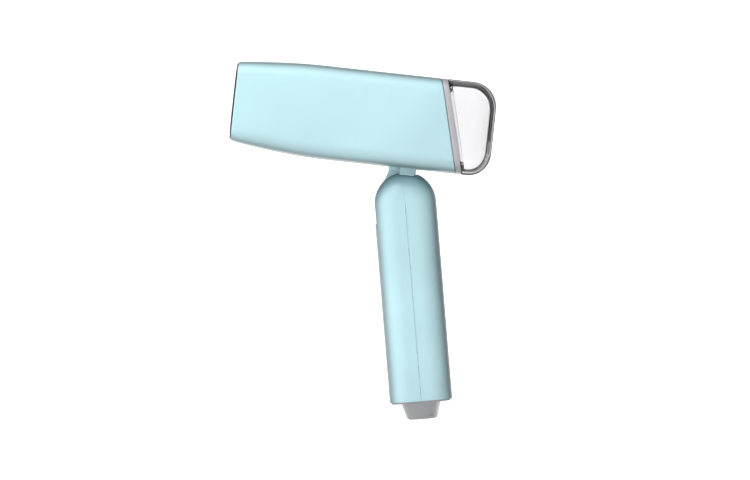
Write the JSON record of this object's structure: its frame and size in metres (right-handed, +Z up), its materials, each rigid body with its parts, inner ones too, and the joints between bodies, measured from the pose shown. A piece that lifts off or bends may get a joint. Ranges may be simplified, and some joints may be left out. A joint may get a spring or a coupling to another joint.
{
  "type": "garment steamer",
  "caption": "Handheld garment steamer with an aqua barrel, a steel steam plate, a clear pull-off water tank and a folding handle with a swivelling cord gland",
  "frame": {"origin": "centre of the steam plate's outer face", "axes": "+X runs back along the barrel to the tank's end, +Y is the right side seen from behind the tank looking forwards, +Z is up; the handle hangs down and leans back"},
  "size_m": [0.1691, 0.066, 0.222],
  "materials": {
    "aqua_plastic": "satin",
    "grey_plastic": "satin",
    "black_plastic": "fine grain",
    "natural_plastic": "plain",
    "plate_steel": "brushed",
    "plated_steel": "zinc plated",
    "cast_alloy": "as cast",
    "brass": "turned",
    "silicone": "soft",
    "black_rubber": "matt",
    "clear_plastic": "clear, slightly smoky",
    "circuit_board": "solder mask"
  },
  "bodies": {
    "head": {"barrel_shell_left": "aqua_plastic", "barrel_shell_right": "aqua_plastic", "barrel_screws": "plated_steel", "front_bezel": "black_plastic", "steam_plate": "plate_steel", "chamber_seal": "silicone", "steam_chamber": "cast_alloy", "heating_element": "cast_alloy", "element_strap": "plated_steel", "thermostat": "black_plastic", "thermal_fuse": "natural_plastic", "inlet_nipple": "brass", "heat_shield": "natural_plastic", "chamber_screws": "plated_steel", "outlet_hose": "silicone", "pump_body": "natural_plastic", "pump_coil": "brass", "pump_frame": "plated_steel", "pump_cradle": "black_plastic", "inlet_hose": "silicone", "chassis": "black_plastic", "control_board": "circuit_board", "board_parts": "black_plastic", "rear_bulkhead": "grey_plastic", "trim_ring": "grey_plastic", "hinge_neck": "aqua_plastic", "neck_screws": "plated_steel"},
    "handle": {"hinge_pin": "plated_steel", "hinge_washers": "plated_steel", "handle_front_shell": "aqua_plastic", "handle_rear_shell": "aqua_plastic", "handle_screws": "plated_steel", "trigger_spring": "plated_steel", "switch_housing": "black_plastic", "switch_carrier": "natural_plastic", "terminal_block": "natural_plastic", "cord_clamp": "black_plastic", "clamp_screws": "plated_steel", "base_cap": "grey_plastic"},
    "trigger": {"steam_trigger": "aqua_plastic"},
    "plunger": {"switch_plunger": "natural_plastic"},
    "gland": {"cord_gland": "plated_steel", "gland_clip": "plated_steel"},
    "tank": {"tank_shell": "clear_plastic", "tank_front": "clear_plastic", "tank_valve": "natural_plastic", "valve_flap": "silicone", "tank_oring": "black_rubber", "filler_plug": "black_rubber"}
  },
  "joints": [
    {"name": "handle_fold", "type": "hinge", "parent": "head", "child": "handle", "pos_m": [0.1174, 0, -0.0535], "axis": [0, 1, 0], "range_deg": [0, 86]},
    {"name": "trigger_press", "type": "slide", "parent": "handle", "child": "trigger", "axis": [0.982, 0, 0.1891], "range_m": [0, 0.0025], "stiffness_N_per_m": 500, "springref_m": -0.002, "deforming": ["trigger_spring"]},
    {"name": "plunger_press", "type": "slide", "parent": "handle", "child": "plunger", "axis": [0.982, 0, 0.1891], "range_m": [0, 0.0025]},
    {"name": "gland_swivel", "type": "hinge", "parent": "handle", "child": "gland", "pos_m": [0.1417, 0, -0.17968], "axis": [0.1891, 0, -0.982], "range_deg": [-170, 170]},
    {"name": "tank_pull", "type": "slide", "parent": "head", "child": "tank", "axis": [1, 0, 0], "range_m": [0, 0.06]}
  ],
  "couplings": [
    {"joint": "plunger_press", "follows": "trigger_press", "ratio": 1}
  ]
}
